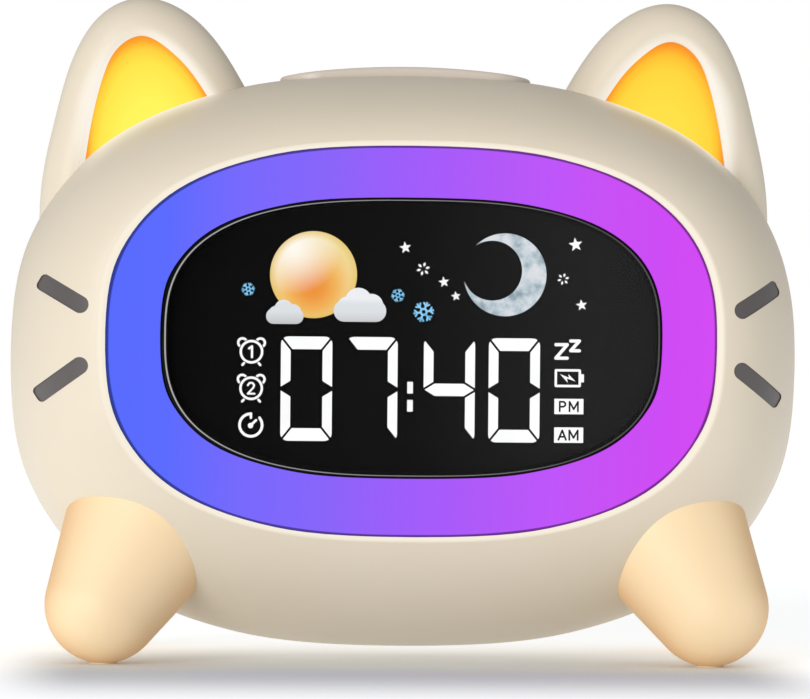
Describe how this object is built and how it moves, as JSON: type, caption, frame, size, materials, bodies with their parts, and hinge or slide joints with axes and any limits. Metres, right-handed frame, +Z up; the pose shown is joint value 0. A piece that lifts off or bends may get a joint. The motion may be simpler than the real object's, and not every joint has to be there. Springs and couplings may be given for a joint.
{
  "type": "kids alarm clock with night light",
  "caption": "Cat-shaped bedside alarm clock with a lit ring round a digital display, glowing ears, a snooze bar on top and push buttons at the back.",
  "frame": {"origin": "middle of the footprint, on the surface the clock stands on", "axes": "+Z up, +X to the right of someone facing the clock, the display faces -Y"},
  "size_m": [0.15, 0.0744, 0.1256],
  "materials": {
    "cream_shell": "satin moulded ABS",
    "tan_leg": "soft satin moulding",
    "rubber_pad": "matt",
    "whisker_grey": "satin inlay",
    "ear_glow": "translucent diffuser, lit warm yellow",
    "ring_glow": "translucent diffuser, lit blue to violet",
    "smoked_lens": "glossy smoked acrylic",
    "mask_black": "black",
    "lit_white": "lit white",
    "sun_glow": "lit orange and yellow",
    "moon_pale": "lit pale grey",
    "cloud_pale": "lit pale grey",
    "snow_blue": "lit light blue",
    "reflector_white": "white reflector",
    "circuit_board": "green solder mask",
    "led_white": "LED package",
    "chip_black": "moulded package",
    "steel": "plated steel",
    "cell_wrap": "foil pouch",
    "foam_tape": "double-sided foam",
    "wire_red": "insulated wire",
    "speaker_paper": "black paper cone",
    "plunger_brown": "switch plunger"
  },
  "bodies": {
    "case": {"battery_cell": "cell_wrap", "battery_leads": "wire_red", "battery_tape": "foam_tape", "board_chips": "chip_black", "board_screws": "steel", "button_switches": "mask_black", "case_screws": "steel", "cloud_windows": "cloud_pale", "digit_segments": "lit_white", "display_board": "circuit_board", "display_housing": "mask_black", "display_leds": "led_white", "display_lens": "smoked_lens", "display_mask": "mask_black", "ear_led_board_left": "circuit_board", "ear_led_board_right": "circuit_board", "ear_leds": "led_white", "ear_panel_left": "ear_glow", "ear_panel_right": "ear_glow", "ear_shell_left": "cream_shell", "ear_shell_right": "cream_shell", "foot_pads": "rubber_pad", "front_leg_left": "tan_leg", "front_leg_right": "tan_leg", "front_shell": "cream_shell", "leg_screws": "steel", "light_ring": "ring_glow", "main_board": "circuit_board", "moon_window": "moon_pale", "rear_leg_left": "tan_leg", "rear_leg_right": "tan_leg", "rear_shell": "cream_shell", "ring_led_board": "circuit_board", "ring_leds": "led_white", "ring_reflector": "reflector_white", "snooze_board": "circuit_board", "snooze_switch": "mask_black", "snowflake_windows": "snow_blue", "speaker_cone": "speaker_paper", "speaker_frame": "mask_black", "speaker_leads": "wire_red", "speaker_magnet": "steel", "star_windows": "lit_white", "status_windows": "lit_white", "sun_window": "sun_glow", "usb_socket": "steel", "whiskers_left": "whisker_grey", "whiskers_right": "whisker_grey"},
    "snooze": {"snooze_bar": "cream_shell", "snooze_plunger": "plunger_brown"},
    "set_key": {"button_set": "cream_shell", "plunger_set": "plunger_brown"},
    "down_key": {"button_down": "cream_shell", "plunger_down": "plunger_brown"},
    "up_key": {"button_up": "cream_shell", "plunger_up": "plunger_brown"},
    "light_key": {"button_light": "cream_shell", "plunger_light": "plunger_brown"}
  },
  "joints": [
    {"name": "snooze_press", "type": "slide", "parent": "case", "child": "snooze", "axis": [0, 0, -1], "range_m": [0, 0.0005], "stiffness_N_per_m": 900},
    {"name": "set_press", "type": "slide", "parent": "case", "child": "set_key", "axis": [0, -1, 0], "range_m": [0, 0.0005], "stiffness_N_per_m": 900},
    {"name": "down_press", "type": "slide", "parent": "case", "child": "down_key", "axis": [0, -1, 0], "range_m": [0, 0.0005], "stiffness_N_per_m": 900},
    {"name": "up_press", "type": "slide", "parent": "case", "child": "up_key", "axis": [0, -1, 0], "range_m": [0, 0.0005], "stiffness_N_per_m": 900},
    {"name": "light_press", "type": "slide", "parent": "case", "child": "light_key", "axis": [0, -1, 0], "range_m": [0, 0.0005], "stiffness_N_per_m": 900}
  ]
}
